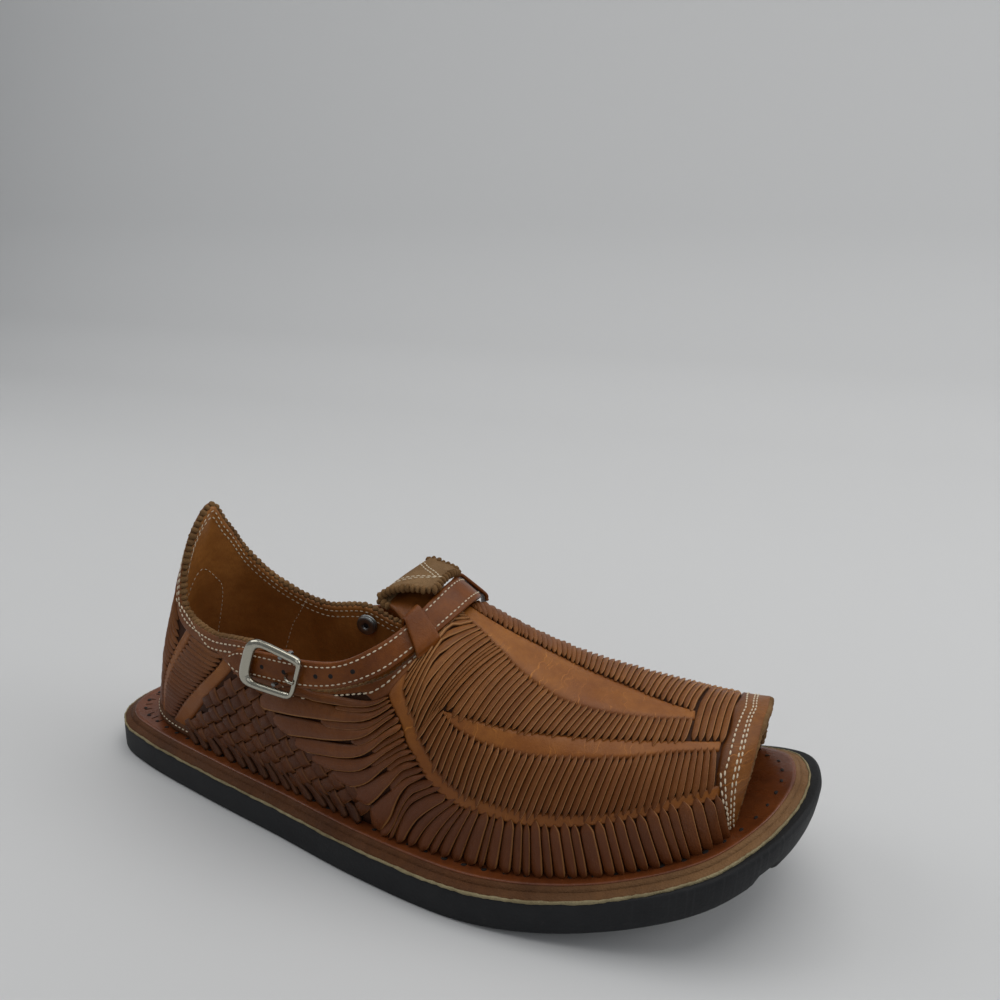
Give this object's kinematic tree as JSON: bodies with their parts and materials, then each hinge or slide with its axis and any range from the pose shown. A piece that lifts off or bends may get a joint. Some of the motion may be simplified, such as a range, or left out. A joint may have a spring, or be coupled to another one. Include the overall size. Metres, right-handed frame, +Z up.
{
  "type": "huarache sandal",
  "caption": "Woven leather sandal with an open toe, a buckled instep strap, a raised heel tab and a tyre-rubber sole.",
  "frame": {"origin": "middle of the heel's flat rest on the ground, 48 mm in front of the back of the sole", "axes": "+X towards the toe, +Y towards the medial side, +Z up; metres"},
  "size_m": [0.304, 0.1163, 0.114],
  "materials": {
    "tyre_rubber": "matt charcoal rubber with fine moulding and buffing marks",
    "midsole_leather": "cut tan leather edge with a raw cream line at its foot",
    "footbed_leather": "polished dark brown leather",
    "woven_leather": "waxed brown strips, woven and pleated",
    "band_leather": "smooth tan leather with off-white stitches",
    "suede": "grey-brown napped flesh side",
    "nickel": "worn nickel plate"
  },
  "bodies": {
    "root": {"outsole": "tyre_rubber", "midsole": "midsole_leather", "insole": "footbed_leather", "upper": "woven_leather", "tongue": "suede", "strap": "band_leather", "buckle_frame": "nickel", "buckle_prong": "nickel", "buckle_chape": "band_leather", "rivet_medial": "nickel", "rivet_lateral": "nickel"}
  },
  "joints": []
}
